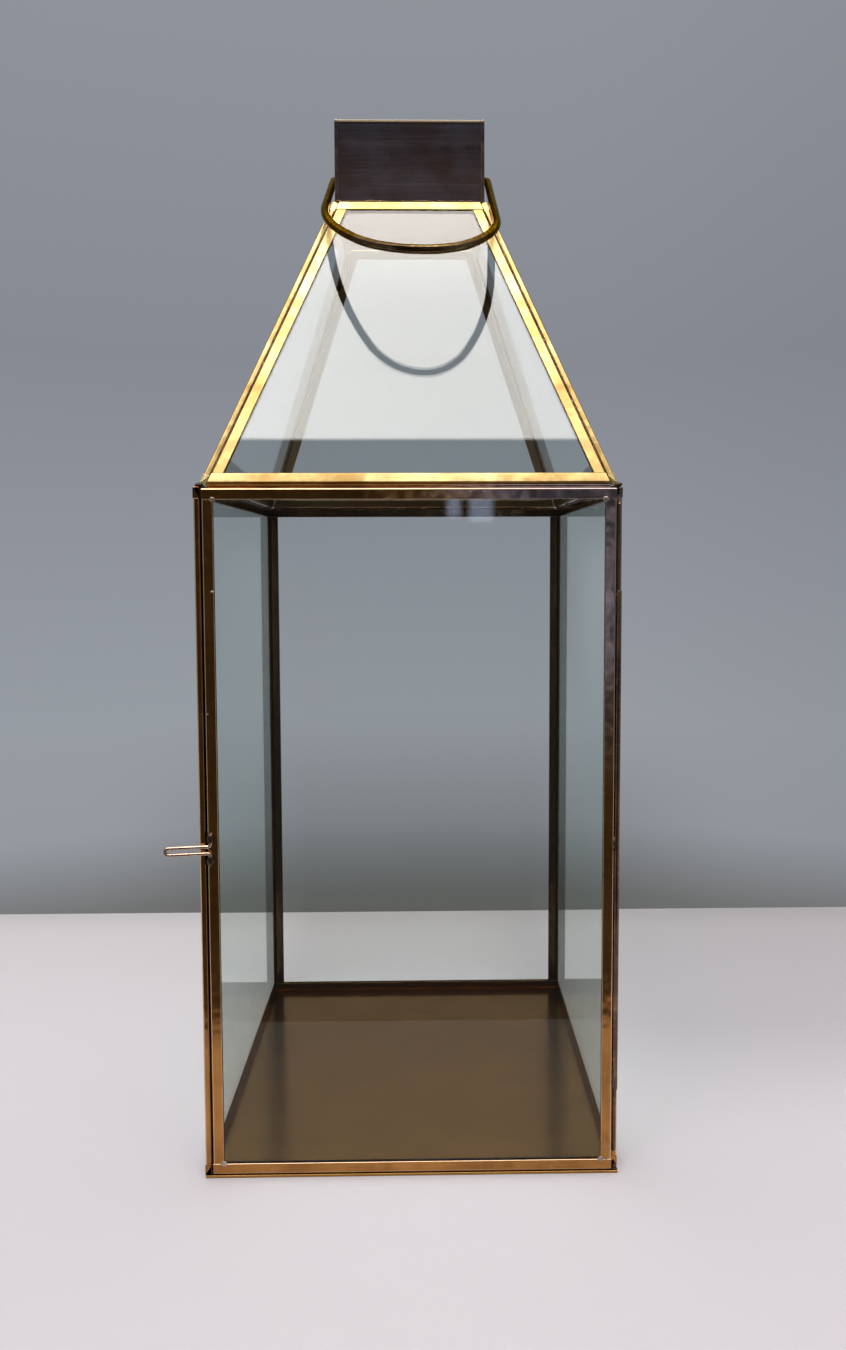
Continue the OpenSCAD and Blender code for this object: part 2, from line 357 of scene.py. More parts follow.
# ---------------------------------------------------------------- the materials in use
# Each tone set is dark, middle, bright and fold
BODY_TONES = (
    rgb(0.32, 0.145, 0.040),
    rgb(0.46, 0.215, 0.062),
    rgb(0.63, 0.34, 0.115),
    rgb(0.80, 0.62, 0.44),
)
BODY_RIM = rgb(0.80, 0.66, 0.50)
ROOF_TONES = (
    rgb(0.42, 0.27, 0.095),
    rgb(0.70, 0.57, 0.27),
    rgb(0.84, 0.74, 0.43),
    rgb(0.13, 0.07, 0.025),
)
ROOF_RIM = rgb(0.96, 0.90, 0.72)
AXES = {"x": (1, 0, 0), "y": (0, 1, 0), "z": (0, 0, 1)}
CAME = {
    axis: brass("came_" + axis, along, *BODY_TONES, rough=0.11, rim=BODY_RIM, violet_sheen=True)
    for axis, along in AXES.items()
}
ROOF = {
    axis: brass("roof_came_" + axis, AXES[axis], *ROOF_TONES, rough=0.26, rim=ROOF_RIM, wave=0.7)
    for axis in ("x", "y")
}
ROOF["hip"] = brass(
    "roof_came_hip", HIP_ALONG, *ROOF_TONES, rough=0.28, rim=ROOF_RIM, mirror_xy=True, foot=EAVE_Z
)
BASE_METAL = sheet_bronze(
    "base_metal",
    (0.05, 1, 1),
    dark=rgb(0.270, 0.140, 0.030),
    mid=rgb(0.310, 0.160, 0.036),
    bright=rgb(0.330, 0.174, 0.041),
    rough=0.17,
    fine=900.0,
    depth=0.35,
    front_half=FACE_OUT,
)
CHIMNEY_X, CHIMNEY_Y = [
    sheet_bronze(
        "chimney_metal_" + axis,
        stretch,
        dark=rgb(0.080, 0.056, 0.059),
        mid=rgb(0.106, 0.098, 0.121),
        bright=rgb(0.19, 0.158, 0.158),
        rough=0.32,
        rim=CHIMNEY[1].z,
    )
    for axis, stretch in (("x", (0.03, 1, 1)), ("y", (1, 0.03, 1)))
]
BAIL_METAL = wire_metal(
    "bail_metal",
    dark=rgb(0.050, 0.032, 0.018),
    mid=rgb(0.13, 0.086, 0.042),
    bright=rgb(0.50, 0.36, 0.17),
    rough=0.13,
    rim=rgb(0.62, 0.48, 0.28),
)
HINGE_METAL = wire_metal(
    "hinge_metal",
    dark=rgb(0.10, 0.062, 0.050),
    mid=rgb(0.22, 0.135, 0.085),
    bright=rgb(0.46, 0.32, 0.20),
    rough=0.22,
)
PULL_METAL = wire_metal(
    "pull_metal",
    dark=rgb(0.45, 0.33, 0.25),
    mid=rgb(0.72, 0.58, 0.46),
    bright=rgb(0.9, 0.8, 0.68),
    rough=0.20,
)
SOLDER = solder_metal(
    "solder_metal", rgb(0.035, 0.024, 0.018), rgb(0.12, 0.078, 0.045), rgb(0.34, 0.25, 0.16)
)
# Lighter solder for the door: partly brighter tin, partly a painted highlight
TIN_AND_HIGHLIGHT = solder_metal(
    "tin_and_highlight_metal", rgb(0.22, 0.17, 0.15), rgb(0.48, 0.40, 0.37), rgb(0.80, 0.72, 0.68)
)
ROOF_GLASS = pane_glass("roof_glass", rgb(0.90, 0.945, 0.935), 1.58)
BOX_GLASS = pane_glass("box_glass", rgb(0.98, 0.992, 0.985), 1.40)
SIDE_GLASS = pane_glass("side_glass", rgb(0.80, 0.89, 0.845), 1.42)

# ---------------------------------------------------------------- the CAD nodes
def rounded_edges(obj, width):
    """Rounds the sharp edges, once the doubled points along them are joined."""
    weld = obj.modifiers.new("weld", "WELD")
    weld.merge_threshold = 0.005 * MM
    bevel = obj.modifiers.new("bevel", "BEVEL")
    bevel.width = width
    bevel.segments = 2
    bevel.limit_method = "ANGLE"
    bevel.angle_limit = math.radians(40)
    bevel.harden_normals = True


def dress(node, material, width=None):
    """Gives a CAD node its material and, where a width is given, rounded edges."""
    obj = NODES[node]
    for place in obj.material_slots:
        place.material = material
    if width:
        rounded_edges(obj, width)


for node in NODES:
    if node.endswith("_glass"):
        kind = node.split("_")[0]
        dress(node, {"roof": ROOF_GLASS, "side": SIDE_GLASS}.get(kind, BOX_GLASS))
dress("base_plate", BASE_METAL, 0.25 * MM)
CHIMNEY_METAL = {"front": CHIMNEY_X, "back": CHIMNEY_X, "left": CHIMNEY_Y, "right": CHIMNEY_Y}
for side, material in CHIMNEY_METAL.items():
    dress("chimney_" + side, material, 0.18 * MM)
dress("hinge_rod", HINGE_METAL)
dress("hinge_tube", HINGE_METAL, 0.15 * MM)
dress("pull_loop", PULL_METAL)
dress("bail", BAIL_METAL, 0.35 * MM)

# ---------------------------------------------------------------- the folded cames
FOLD_R = 0.8 * MM
LIP_R = 0.25 * MM
PLUG_T = 0.38 * MM
GROOVE_BACK = -SHEET_T - GLASS_T
GROOVE = ((SHEET_T, -SHEET_T), (CAME_FACE, -SHEET_T), (CAME_FACE, GROOVE_BACK), (SHEET_T, GROOVE_BACK))
ARC_STEPS = 5


def object_from(bm, name, material):
    """Makes an object in the scene from the drawn mesh."""
    mesh = bpy.data.meshes.new(name)
    bm.to_mesh(mesh)
    bm.free()
    mesh.materials.append(material)
    obj = bpy.data.objects.new(name, mesh)
    scene.collection.objects.link(obj)
    return obj


def join_rings(bm, first, second):
    """Makes the faces between two rings of the same number of points."""
    made = []
    for k in range(len(first)):
        following = (k + 1) % len(first)
        made.append(bm.faces.new((first[k], first[following], second[following], second[k])))
    return made


def arc(centre, radius, start, stop):
    """Points of a quarter round in the profile's plane, angles in degrees."""
    points = []
    for k in range(ARC_STEPS + 1):
        a = math.radians(start + (stop - start) * k / ARC_STEPS)
        points.append((centre[0] + radius * math.cos(a), centre[1] + radius * math.sin(a)))
    return points


def came_profile(lift):
    """The folded section as (in from the outer edge, out of the face, fold mask, inner-face mask)."""
    deep = -CAME_T
    face = CAME_FACE
    rest = [0.0] * (ARC_STEPS + 1)
    bend = [math.sin(math.pi * k / ARC_STEPS) for k in range(ARC_STEPS + 1)]
    fade = [1.0 - k / ARC_STEPS for k in range(ARC_STEPS + 1)]
    hidden = [1.0] * (ARC_STEPS + 1)
    groove = [(face, -SHEET_T), (SHEET_T, -SHEET_T), (SHEET_T, GROOVE_BACK), (face, GROOVE_BACK)]
    runs = [
        (arc((FOLD_R, lift - FOLD_R), FOLD_R, 180, 90), bend, rest),
        (arc((face - LIP_R, lift - LIP_R), LIP_R, 90, 0), bend, rest),
        (groove, rest, hidden),
        (arc((face - LIP_R, deep + LIP_R), LIP_R, 0, -90), rest, hidden),
        (arc((FOLD_R, deep + FOLD_R), FOLD_R, -90, -180), rest, fade),
    ]
    profile = []
    for points, folds, inners in runs:
        profile += [(*spot, fold, inner) for spot, fold, inner in zip(points, folds, inners)]
    return profile


class Pane:
    """A pane's own plane: across from its middle, up the pane and out of its face."""

    def __init__(self, quarter, out, foot, lean, left, right, taper, rise):
        self.turn = QUARTERS[quarter]
        self.foot = Vector((0, -out, foot))
        self.up = Vector((0, math.sin(lean), math.cos(lean)))
        self.outward = Vector((0, -math.cos(lean), math.sin(lean)))
        self.middle = (left + right) / 2
        self.half = (right - left) / 2
        self.slant = taper / rise
        self.rise = rise

    def edge(self, up):
        return self.half - self.slant * up

    def point(self, across, up, out):
        local = Vector((self.middle + across, 0, 0)) + self.foot + self.up * up + self.outward * out
        return self.turn @ local


def came_ends(pane, piece, inward):
    """The start and stop, as (across, up), of the line that lies inward from a came's outer edge."""
    if piece == "rail_bottom":
        return (-pane.edge(inward), inward), (pane.edge(inward), inward)
    if piece == "rail_top":
        level = pane.rise - inward
        return (-pane.edge(level), level), (pane.edge(level), level)
    wide = inward * math.hypot(1, pane.slant)
    sign = 1 if piece == "stile_right" else -1
    low, high = CAME_FACE, pane.rise - CAME_FACE
    return (sign * (pane.edge(low) - wide), low), (sign * (pane.edge(high) - wide), high)


def add_end_plug(bm, pane, piece, end, sign):
    """Closes the groove at a rail's end, where the sheet is folded in past the glass."""
    rings = []
    for shift in (0.0, PLUG_T * sign):
        ring = []
        for inward, out in GROOVE:
            across, up = came_ends(pane, piece, inward)[end]
            ring.append(bm.verts.new(pane.point(across + shift, up, out)))
        rings.append(ring)
    faces = [bm.faces.new(ring) for ring in rings] + join_rings(bm, *rings)
    bmesh.ops.recalc_face_normals(bm, faces=faces)


def build_came(name, pane, piece, body, material):
    """A folded came that takes the place of its CAD node. Rails stand a little proud of stiles."""
    lift = PROUD if "rail" in piece else 0.0
    profile = came_profile(lift)
    bm = bmesh.new()
    fold_layer = bm.verts.layers.float.new("fold")
    inner_layer = bm.verts.layers.float.new("inner")
    rings = [[], []]
    for inward, out, fold, inner in profile:
        for ring, (across, up) in zip(rings, came_ends(pane, piece, inward)):
            vert = bm.verts.new(pane.point(across, up, out))
            vert[fold_layer] = fold
            vert[inner_layer] = inner
            ring.append(vert)
    join_rings(bm, *rings)
    caps = [bm.faces.new(ring) for ring in rings]
    bmesh.ops.recalc_face_normals(bm, faces=bm.faces)
    if "rail" in piece:
        for end, sign in ((0, 1), (1, -1)):
            add_end_plug(bm, pane, piece, end, sign)
    weights = bm.edges.layers.float.new("bevel_weight_edge")
    for cap in caps:
        for edge in cap.edges:
            edge[weights] = 1.0
    obj = object_from(bm, name, material)
    obj.data.set_sharp_from_angle(angle=math.radians(50))
    for face in obj.data.polygons:
        face.use_smooth = True
    bevel = obj.modifiers.new("bevel", "BEVEL")
    bevel.width = 0.16 * MM
    bevel.segments = 2
    bevel.limit_method = "WEIGHT"
    flat = obj.modifiers.new("flat_faces", "WEIGHTED_NORMAL")
    flat.keep_sharp = True
    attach(obj, body)
    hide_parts(name.removesuffix("_folded"))


def upright(name, quarter):
    """An upright pane, from the boxes of its rails."""
    low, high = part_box(name + "_rail_bottom")
    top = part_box(name + "_rail_top")[1].z
    corners = [QUARTERS[quarter].transposed() @ corner for corner in (low, high)]
    left, right = sorted(corner.x for corner in corners)
    out = -min(corner.y for corner in corners) - PROUD
    return Pane(quarter, out, low.z, 0.0, left, right, 0.0, top - low.z)


def sloping(quarter, inset):
    """A roof pane, set in by inset at both sides."""
    half = EAVE_HALF - inset
    return Pane(quarter, EAVE_HALF, EAVE_Z, LEAN, -half, half, RUN, SLOPE_LEN)


PANES = {
    "side_left": (upright("side_left", 3), "body"),
    "side_right": (upright("side_right", 1), "body"),
    "back": (upright("back", 2), "body"),
    "door": (upright("door", 0), "door"),
    "roof_front": (sloping(0, INSET), "body"),
    "roof_right": (sloping(1, 0.0), "body"),
    "roof_back": (sloping(2, INSET), "body"),
    "roof_left": (sloping(3, 0.0), "body"),
}
# The direction that each pane's rails run in
RAIL_AXIS = {"front": "x", "back": "x", "door": "x", "left": "y", "right": "y"}
for name, (pane, body) in PANES.items():
    on_roof = name.startswith("roof")
    axis = RAIL_AXIS[name.split("_")[-1]]
    for piece in ("rail_bottom", "rail_top", "stile_left", "stile_right"):
        if "rail" in piece:
            material = (ROOF if on_roof else CAME)[axis]
        else:
            material = ROOF["hip"] if on_roof else CAME["z"]
        build_came(f"{name}_{piece}_folded", pane, piece, body, material)

# ---------------------------------------------------------------- the thin angle strips
STRIP_T = 0.5 * MM
STRIP_GAP = 0.25 * MM


def angle_profile(foot, rise):
    """An L section with a round outer corner at (0, 0): one leg along u, the other along v."""
    corner = arc((STRIP_T, STRIP_T), STRIP_T, 180, 270)
    return corner + [(foot, 0.0), (foot, STRIP_T), (STRIP_T, STRIP_T), (STRIP_T, rise), (0.0, rise)]


def build_strip(name, profile, place, start, stop, material):
    """A folded strip: place(u, v, along) sets the section out from start to stop."""
    bm = bmesh.new()
    rings = [[bm.verts.new(place(u, v, along)) for u, v in profile] for along in (start, stop)]
    join_rings(bm, *rings)
    for ring in rings:
        bm.faces.new(ring)
    bmesh.ops.recalc_face_normals(bm, faces=bm.faces)
    obj = object_from(bm, name, material)
    rounded_edges(obj, 0.12 * MM)
    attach(obj, "body")


def build_header():
    """The angle strip under the roof's front rail, which closes the line above the door."""
    low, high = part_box("roof_front_rail_bottom")
    bottom = DOOR_TOP[1].z + STRIP_GAP
    top = low.z + STRIP_GAP
    front = -EAVE_HALF - 0.3 * MM

    def place(u, v, along):
        return (along, front + u, bottom + v)

    section = angle_profile(3.2 * MM, top - bottom)
    build_strip("header_strip", section, place, low.x, high.x, CAME["x"])


def build_stop():
    """The angle strip behind the free edge of the door, which closes the gap beside it."""
    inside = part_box("side_left_stile_right")[1].x
    front = DOOR_TOP[1].y + STRIP_GAP
    bottom = BASE[1].z + 2 * STRIP_GAP
    top = BODY_TOP - 2 * STRIP_GAP

    def place(u, v, along):
        return (inside + u, front + v, along)

    build_strip("door_stop", angle_profile(2.6 * MM, 2.2 * MM), place, bottom, top, CAME["z"])


build_header()
build_stop()

# ---------------------------------------------------------------- solder
RING = 10
MAX_STEPS = 400
TACK_IN = 0.1 * MM
# From the middle of the pull loop to each foot's solder
FOOT_REACH = 4.9 * MM


def add_bead(bm, points, radius, seed, lump=0.35, taper=0.12):
    """Adds one run of solder: a lumpy closed tube through the points, thinning at its ends."""
    line = [Vector(p) for p in points]
    lengths = [0.0]
    for a, b in zip(line, line[1:]):
        lengths.append(lengths[-1] + (b - a).length)
    total = lengths[-1]
    count = min(max(4, int(total / (radius * 0.9))), MAX_STEPS)
    rings = []
    for i in range(count + 1):
        at = total * i / count
        k = max(j for j in range(len(lengths) - 1) if lengths[j] <= at + 1e-12)
        share = (at - lengths[k]) / (lengths[k + 1] - lengths[k])
        centre = line[k].lerp(line[k + 1], share)
        ahead = (line[k + 1] - line[k]).normalized()
        side = ahead.orthogonal().normalized()
        other = ahead.cross(side)
        end = min(at, total - at) / max(taper * total, radius)
        thin = math.sqrt(min(1.0, end)) if 0 < i < count else 0.0
        swell = 1.0 + lump * noise.noise(Vector((at / (radius * 5.0), seed, 0.0))) * 2.0
        if thin == 0.0:
            rings.append([bm.verts.new(centre)])
            continue
        ring = []
        for j in range(RING):
            a = 2 * math.pi * j / RING
            out = side * math.cos(a) + other * math.sin(a)
            spot = (centre + out * radius) / (radius * 2.2)
            wobble = 1.0 + lump * noise.noise(spot + Vector((seed, 0, 0)))
            ring.append(bm.verts.new(centre + out * (radius * thin * swell * wobble)))
        rings.append(ring)
    for low, high in zip(rings, rings[1:]):
        if len(low) == 1:
            for j in range(RING):
                bm.faces.new((low[0], high[(j + 1) % RING], high[j]))
        elif len(high) == 1:
            for j in range(RING):
                bm.faces.new((low[j], low[(j + 1) % RING], high[0]))
        else:
            join_rings(bm, low, high)


def add_lump(bm, centre, radii, seed):
    """Adds one blob of solder: an icosphere pushed in and out by noise."""
    made = bmesh.ops.create_icosphere(bm, subdivisions=3, radius=1.0)
    for vert in made["verts"]:
        out = vert.co.normalized()
        push = 1.0 + 0.16 * noise.noise(out * 1.7 + Vector((seed, 3.1, 0)))
        shaped = Vector((out.x * radii[0], out.y * radii[1], out.z * radii[2])) * push
        vert.co = Vector(centre) + shaped


def piece_from(name, build, body, material):
    """A smooth piece that build(bm) draws."""
    bm = bmesh.new()
    build(bm)
    bmesh.ops.recalc_face_normals(bm, faces=bm.faces)
    obj = object_from(bm, name, material)
    for face in obj.data.polygons:
        face.use_smooth = True
    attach(obj, body)


def roof_point(quarter, across, up, out=0.0):
    """A point on a roof pane's outer plane: across from its middle, up the slope, out of the plane."""
    y = -(EAVE_HALF - up * math.sin(LEAN)) - out * math.cos(LEAN)
    z = EAVE_Z + up * math.cos(LEAN) + out * math.sin(LEAN)
    return QUARTERS[quarter] @ Vector((across, y, z))


def roof_seams(bm):
    """Solder along the hips, on the front and back, where the panes butt against the side ones."""
    for quarter in (0, 2):
        for sign in (-1, 1):
            line = []
            for step in range(13):
                up = CAME_FACE + (SLOPE_LEN - 2 * CAME_FACE) * step / 12
                across = EAVE_HALF - INSET + 0.05 * MM - up * math.sin(LEAN)
                line.append(roof_point(quarter, sign * across, up, -0.55 * MM))
            add_bead(bm, line, 0.40 * MM, 7.0 * quarter + sign, lump=0.2, taper=0.01)


def eave_solder(bm):
    """The bed between box and roof: runs along the sides and back, and a lump at each corner."""
    level = (BODY_TOP + EAVE[0].z) / 2
    reach = FACE_OUT - 3.5 * MM
    inward = FACE_OUT - 2.7 * MM
    for quarter in (1, 2, 3):
        line = [QUARTERS[quarter] @ Vector((reach * s / 10, -inward, level)) for s in range(-10, 11)]
        add_bead(bm, line, 0.75 * MM, 3.3 * quarter, lump=0.3, taper=0.02)
    for sx in (-1, 1):
        for sy in (-1, 1):
            # The two front lumps are flatter and sit higher
            lift, tall = (0.5 * MM, 1.0 * MM) if sy < 0 else (0.0, 1.7 * MM)
            spot = (sx * (FACE_OUT - 2.2 * MM), sy * (FACE_OUT - 2.1 * MM), level + lift)
            add_lump(bm, spot, (1.8 * MM, 1.8 * MM, tall), 2.0 * sx + sy)


def corner_solder(bm):
    """Lumps at the foot and head of the box's corners, smaller where the door swings past."""
    for sx in (-1, 1):
        for sy in (-1, 1):
            by_hinge = sx > 0 and sy < 0
            radius = (0.9 if by_hinge else 1.25) * MM
            for z in (1.9 * MM, BODY_TOP - 1.3 * MM):
                spot = (sx * (FACE_OUT - 1.50 * MM), sy * (FACE_OUT - 1.45 * MM), z)
                add_lump(bm, spot, (radius, radius, 1.35 * MM), 5 * sx + 2 * sy + z * 900)


def back_seams(bm):
    """Solder up the two rear corners, in the groove between the side frames and the back frame."""
    for sx in (-1, 1):
        x = sx * (FACE_OUT - CAME_T)
        foot = Vector((x, FACE_OUT - 0.45 * MM, BASE[1].z))
        head = Vector((x, FACE_OUT - 0.45 * MM, BODY_TOP))
        line = [foot.lerp(head, s / 20) for s in range(21)]
        add_bead(bm, line, 0.3 * MM, 11.0 * sx, lump=0.25, taper=0.01)


def chimney_foot(bm):
    """A fillet of solder where the chimney stands on the roof."""
    half = CHIMNEY[1].x
    z = CHIMNEY[0].z + 0.15 * MM
    for quarter in range(4):
        line = [QUARTERS[quarter] @ Vector((half * s / 8, -half, z)) for s in range(-8, 9)]
        add_bead(bm, line, 0.6 * MM, 2.1 * quarter + 0.4, lump=0.35, taper=0.02)


def tacks(bm, names):
    """A short run of solder at each joint between a rail and the stiles that it laps."""
    for name in names:
        for rail in ("rail_bottom", "rail_top"):
            low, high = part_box(f"{name}_{rail}")
            across_x = high.x - low.x > high.y - low.y
            for stile in ("stile_left", "stile_right"):
                s_low, s_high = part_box(f"{name}_{stile}")
                z = high.z if rail == "rail_bottom" else low.z
                middle = (s_low + s_high) / 2
                for face in (-1, 1):
                    if across_x:
                        y = (s_low.y + TACK_IN) if face < 0 else (s_high.y - TACK_IN)
                        a = Vector((s_low.x + TACK_IN, y, z))
                        b = Vector((s_high.x - TACK_IN, y, z))
                    else:
                        x = (s_low.x + TACK_IN) if face < 0 else (s_high.x - TACK_IN)
                        a = Vector((x, s_low.y + TACK_IN, z))
                        b = Vector((x, s_high.y - TACK_IN, z))
                    seed = middle.x * 40 + middle.y * 70 + z * 10 + face
                    add_bead(bm, [a, (a + b) / 2, b], 0.17 * MM, seed, lump=0.3, taper=0.2)


def hinge_solder(bm):
    """Three runs of solder that hold the hinge tube to the door."""
    x = TUBE[0].x + 0.1 * MM
    y = TUBE[0].y + 0.55 * MM
    runs = ((TUBE[0].z + 6 * MM, 5 * MM), (150 * MM, 4 * MM), (TUBE[1].z - 6 * MM, 5 * MM))
    for z, reach in runs:
        line = [Vector((x, y, z + reach * s / 4)) for s in range(-4, 5)]
        add_bead(bm, line, 0.62 * MM, z * 90, lump=0.35, taper=0.3)


def rod_solder(bm):
    """The lumps that hold the rod's bent ends to the side panel."""
    x = (ROD[0].x + ROD[1].x) / 2
    for z in (ROD[0].z + 0.75 * MM, ROD[1].z - 0.75 * MM):
        add_lump(bm, (x, ROD[1].y - 0.2 * MM, z), (1.1 * MM, 1.0 * MM, 1.5 * MM), z * 50)


def loop_solder(bm):
    """The solder that holds the two feet of the pull loop to the door stile."""
    x = LOOP[1].x - 0.8 * MM
    middle = (LOOP[0].z + LOOP[1].z) / 2
    for sign in (-1, 1):
        z = middle + sign * FOOT_REACH
        add_lump(bm, (x, -FACE_OUT - 0.25 * MM, z), (1.7 * MM, 1.75 * MM, 2.9 * MM), 4.0 + sign)


def door_corner_solder(bm):
    """A flat blob of tin on the door's front at each inner corner, over the joint. Its light tone is partly
    a painted highlight.
    """
    low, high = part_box("door_rail_bottom")
    for sx, edge in ((-1, low.x), (1, high.x)):
        for z in (high.z, DOOR_TOP[0].z):
            spot = (edge - sx * CAME_FACE, -FACE_OUT + 0.05 * MM, z)
            add_lump(bm, spot, (1.35 * MM, 0.42 * MM, 1.25 * MM), 3 * sx + z * 70)


def stile_glints(bm):
    """Two small drops of bright tin on the left stile of the door, set there as painted glints."""
    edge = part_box("door_stile_left")[1].x
    for inward, z, radius in ((0.8, 262.0, 0.55), (3.6, 209.0, 0.35)):
        spot = (edge - inward * MM, -FACE_OUT + 0.02 * MM, z * MM)
        add_lump(bm, spot, (radius * 1.5 * MM, 0.16 * MM, radius * MM), z)


FIXED = ["side_left", "side_right", "back"]
piece_from("roof_seams", roof_seams, "body", SOLDER)
piece_from("eave_solder", eave_solder, "body", SOLDER)
piece_from("corner_solder", corner_solder, "body", SOLDER)
piece_from("back_seams", back_seams, "body", SOLDER)
piece_from("chimney_foot_solder", chimney_foot, "body", SOLDER)
piece_from("frame_tacks", lambda bm: tacks(bm, FIXED), "body", SOLDER)
piece_from("door_tacks", lambda bm: tacks(bm, ["door"]), "door", SOLDER)
piece_from("door_corner_solder", door_corner_solder, "door", TIN_AND_HIGHLIGHT)
piece_from("stile_glints", stile_glints, "door", TIN_AND_HIGHLIGHT)
piece_from("hinge_solder", hinge_solder, "door", SOLDER)
piece_from("rod_solder", rod_solder, "body", SOLDER)
piece_from("loop_solder", loop_solder, "door", SOLDER)

# ---------------------------------------------------------------- table
TABLE_BACK = 0.227
TABLE_FRONT = -0.234
TABLE_DEPTH = 0.8
TABLE_HALF = 1.1
TABLE_T = 0.006


def table_paint(name, hidden_in=None):
    """Pale matt paint with painted shade: darker towards the back, a painted shadow to the right of the
    lantern and behind it, and painted shade at the far edge.

    A part of the table can be left out of all mirrors, or of what is mirrored through glass.
    """
    made, tree, shader, out = new_material(name)
    coords = object_coords(tree)
    place = tree.place(coords)
    # Painted shade: darker towards the back
    back = tree.span(place["Y"], 0.0, 0.25)
    colour = tree.mix(back, rgb(0.448, 0.444, 0.496), rgb(0.388, 0.390, 0.420))
    # Painted shadow to the right of the lantern
    to_right = tree.span(place["X"], 0.02, 0.16)
    shade = tree.math("MULTIPLY", to_right, tree.span(place["Y"], -0.08, 0.06))
    colour = tree.mix(tree.math("MULTIPLY", shade, 0.30), colour, rgb(0.05, 0.05, 0.07))
    # Painted shadow behind the lantern
    beside = tree.span(tree.math("ABSOLUTE", place["X"]), 0.14, 0.07)
    shadow = tree.math("MULTIPLY", beside, tree.span(place["Y"], 0.04, 0.13))
    colour = tree.mix(tree.math("MULTIPLY", shadow, 0.24), colour, rgb(0.05, 0.05, 0.05))
    # Painted shade along the far edge, by the wall
    far = tree.span(place["Y"], TABLE_BACK - 0.045, TABLE_BACK)
    colour = tree.mix(tree.math("MULTIPLY", far, 0.16), colour, rgb(0.08, 0.08, 0.08))
    fleck = tree.noise(coords, 60.0, 3.0, 0.6)
    colour = tree.mix(tree.math("MULTIPLY", fleck, 0.06), colour, rgb(0.46, 0.45, 0.47))
    tree.link(colour, shader.inputs["Base Color"])
    shader.inputs["Roughness"].default_value = 0.55
    shader.inputs["Specular IOR Level"].default_value = 0.25
    if hidden_in is not None:
        path = tree.add("ShaderNodeLightPath")
        bounced = tree.math("GREATER_THAN", path.outputs["Glossy Depth"], 0.5)
        if hidden_in == "glass":
            through = tree.math("GREATER_THAN", path.outputs["Transmission Depth"], 1.5)
            bounced = tree.math("MULTIPLY", bounced, through)
        tree.let_through(bounced, shader, out, WHITE)
    return made


def build_slab(name, front, back, material):
    """A plain slab with its top at z = 0."""
    bm = bmesh.new()
    corners = [(-TABLE_HALF, front), (TABLE_HALF, front), (TABLE_HALF, back), (-TABLE_HALF, back)]
    top = bm.faces.new([bm.verts.new((x, y, 0)) for x, y in corners])
    grown = bmesh.ops.extrude_face_region(bm, geom=[top])
    for item in grown["geom"]:
        if isinstance(item, bmesh.types.BMVert):
            item.co.z -= TABLE_T
    bmesh.ops.recalc_face_normals(bm, faces=bm.faces)
    object_from(bm, name, material)


NEAR_EDGE = TABLE_FRONT - TABLE_DEPTH
build_slab("table", -FACE_OUT, TABLE_BACK, table_paint("table_paint"))
build_slab("table_front", TABLE_FRONT, -FACE_OUT, table_paint("table_front_paint", "glass"))
build_slab("table_near", NEAR_EDGE, TABLE_FRONT, table_paint("table_near_paint", "mirrors"))

# ---------------------------------------------------------------- the room: soft light by direction
world = bpy.data.worlds.new("room")
scene.world = world
world.use_nodes = True
sky = Tree(world.node_tree)
dx, dy, dz = sky.place(sky.add("ShaderNodeTexCoord").outputs["Generated"])


def ramp(value, stops):
    """Colours by height of direction, from stops of (height, red, green, blue)."""
    made = sky.add("ShaderNodeValToRGB")
    sky.link(sky.math("MULTIPLY_ADD", value, 0.5, 0.5), made.inputs["Fac"])
    held = made.color_ramp.elements
    while len(held) < len(stops):
        held.new(0.5)
    for element, (at, *colour) in zip(held, stops):
        element.position = at * 0.5 + 0.5
        element.color = rgb(*colour)
    return made.outputs["Color"]


def times(a, b):
    return sky.math("MULTIPLY", a, b)


def far_pane(left, right, low, high, soft=0.010):
    """A soft-edged rectangle far behind the viewer, given by its direction."""
    wide = times(sky.span(dx, left - soft, left), sky.span(dx, right + soft, right))
    return times(wide, times(sky.span(dz, low - soft, low), sky.span(dz, high + soft, high)))


LAMP_POWER = 5.85
CEILING_POWER = 1.7
# The wall behind the lantern, down to the floor, with painted shade in a dark band where it meets the table
wall = ramp(dz, [
    (-0.60, 0.50, 0.48, 0.51),
    (-0.42, 0.30, 0.29, 0.30),
    (-0.36, 0.165, 0.165, 0.155),
    (-0.335, 0.175, 0.18, 0.18),
    (-0.27, 0.30, 0.318, 0.35),
    (-0.165, 0.312, 0.335, 0.37),
    (0.04, 0.272, 0.292, 0.33),
    (0.20, 0.240, 0.255, 0.29),
    (0.48, 0.275, 0.29, 0.325),
    (0.75, 0.32, 0.33, 0.35),
])
# The rest of the room, as diffuse light sees it
room = ramp(dz, [
    (-0.62, 0.50, 0.48, 0.51),
    (-0.45, 0.36, 0.35, 0.36),
    (-0.30, 0.24, 0.24, 0.25),
    (-0.05, 0.22, 0.225, 0.24),
    (0.62, 0.22, 0.225, 0.24),
    (0.75, 0.26, 0.26, 0.27),
])
# The same part of the room as the metal and the glass mirror it, with one lighter band
unlit_room = ramp(dz, [
    (-0.50, 0.09, 0.085, 0.08),
    (-0.20, 0.075, 0.073, 0.07),
    (-0.02, 0.07, 0.068, 0.065),
    (0.02, 0.045, 0.045, 0.045),
    (0.16, 0.04, 0.04, 0.04),
    (0.21, 0.27, 0.26, 0.25),
    (0.33, 0.27, 0.26, 0.25),
    (0.38, 0.055, 0.055, 0.055),
    (0.62, 0.07, 0.075, 0.075),
    (0.75, 0.14, 0.14, 0.14),
])
sideways = sky.math("ABSOLUTE", dx)
unlit_room = sky.mix(sky.span(sideways, 0.46, 0.74), unlit_room, rgb(0.36, 0.355, 0.36))
to_wall = sky.span(dy, -0.55, 0.35)
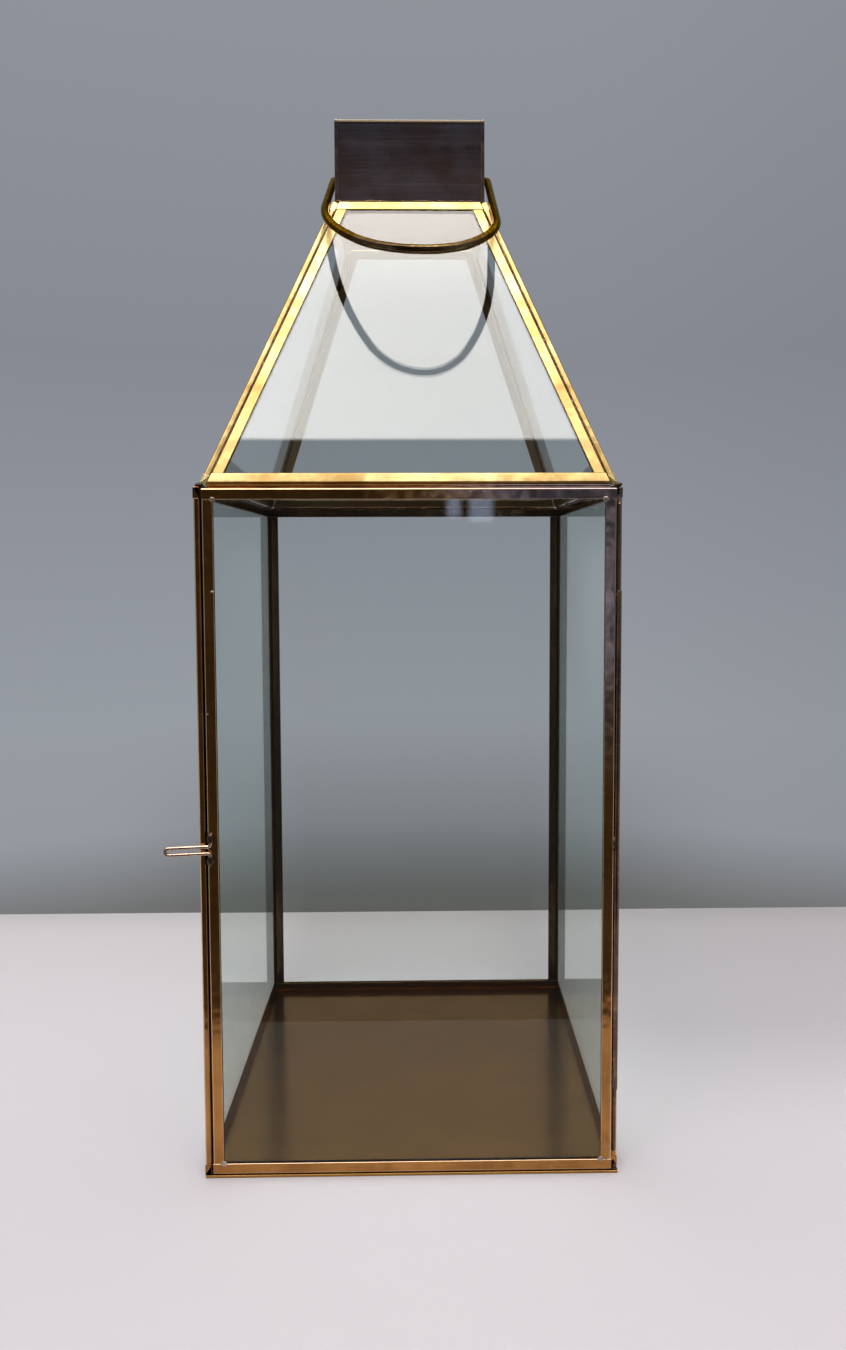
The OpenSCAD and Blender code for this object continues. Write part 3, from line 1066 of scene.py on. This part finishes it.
# Painted shadow of the lantern on the wall behind it
behind = times(sky.span(sideways, 0.34, 0.10), sky.span(dz, -0.14, -0.33))
wall = sky.mix(times(behind, 0.38), wall, rgb(0.04, 0.045, 0.04))
# Painted shade: the wall grows a little darker to the right
wall = sky.mix(times(sky.span(dx, 0.10, 0.50), 0.10), wall, rgb(0.05, 0.05, 0.05))
# Two windows to the right of the viewer, seen only where the metal or the glass mirrors them
window = times(sky.span(dx, 0.150, 0.180), sky.span(dx, 0.235, 0.200))
window = times(window, times(sky.span(dz, -0.20, -0.02), sky.span(dz, 0.045, -0.01)))
unlit_room = sky.mix(window, unlit_room, rgb(0.95, 0.95, 1.0))
left_light = far_pane(0.028, 0.031, 0.050, 0.075)
right_light = far_pane(0.051, 0.065, 0.046, 0.075)
far_window = sky.math("MAXIMUM", left_light, right_light)
unlit_room = sky.mix(far_window, unlit_room, rgb(2.1, 2.5, 3.4))
plain = sky.mix(to_wall, room, wall)
mirrored = sky.mix(to_wall, unlit_room, wall)
bounced = sky.math("GREATER_THAN", sky.add("ShaderNodeLightPath").outputs["Glossy Depth"], 0.5)
around = sky.mix(bounced, plain, mirrored)
# The bright ceiling, strongest over and behind the viewer and a little stronger from the left
strip = times(sky.math("ABSOLUTE", dy), 1.175)
ceiling = sky.span(sky.math("SUBTRACT", dz, strip), -0.004, 0.004)
ceiling = times(ceiling, sky.span(dz, 0.55, 0.70))
lit_side = times(sky.span(dy, -0.26, -0.36), sky.span(sideways, 0.75, 0.40))
from_left = sky.math("MULTIPLY_ADD", dx, -0.35, 1.0)
power = sky.math("MULTIPLY_ADD", lit_side, LAMP_POWER - CEILING_POWER, CEILING_POWER)
tint = sky.mix(sky.span(dz, 0.83, 0.90), rgb(0.97, 0.925, 0.87), rgb(1.33, 1.21, 1.12))
lamp = sky.vector("SCALE", tint)
sky.link(times(power, from_left), lamp.node.inputs["Scale"])
shown = sky.add("ShaderNodeBackground")
sky.link(sky.mix(ceiling, around, lamp), shown.inputs["Color"])
sky.link(shown.outputs["Background"], sky.add("ShaderNodeOutputWorld").inputs["Surface"])

# ---------------------------------------------------------------- camera
EYE = Vector((6.9 * MM, -498.2 * MM, 275.6 * MM))
YAW = math.radians(0.94)
PITCH = math.radians(3.58)
ROLL = math.radians(-0.16)
SENSOR = 36.0
LENS = 25.107
SHIFT = (-0.01348, -0.04178)
forward = math.cos(PITCH)
ahead = Vector((math.sin(YAW) * forward, math.cos(YAW) * forward, -math.sin(PITCH)))
level = Vector((math.cos(YAW), -math.sin(YAW), 0))
upward = level.cross(ahead)
right = level * math.cos(ROLL) + upward * math.sin(ROLL)
upward = upward * math.cos(ROLL) - level * math.sin(ROLL)
camera_data = bpy.data.cameras.new("camera")
camera_data.sensor_width = SENSOR
camera_data.lens = LENS
camera_data.shift_x, camera_data.shift_y = SHIFT
camera_data.clip_start = 0.01
camera = bpy.data.objects.new("camera", camera_data)
scene.collection.objects.link(camera)
turned = Matrix((right, upward, -ahead)).transposed().to_4x4()
camera.matrix_world = Matrix.Translation(EYE) @ turned
scene.camera = camera
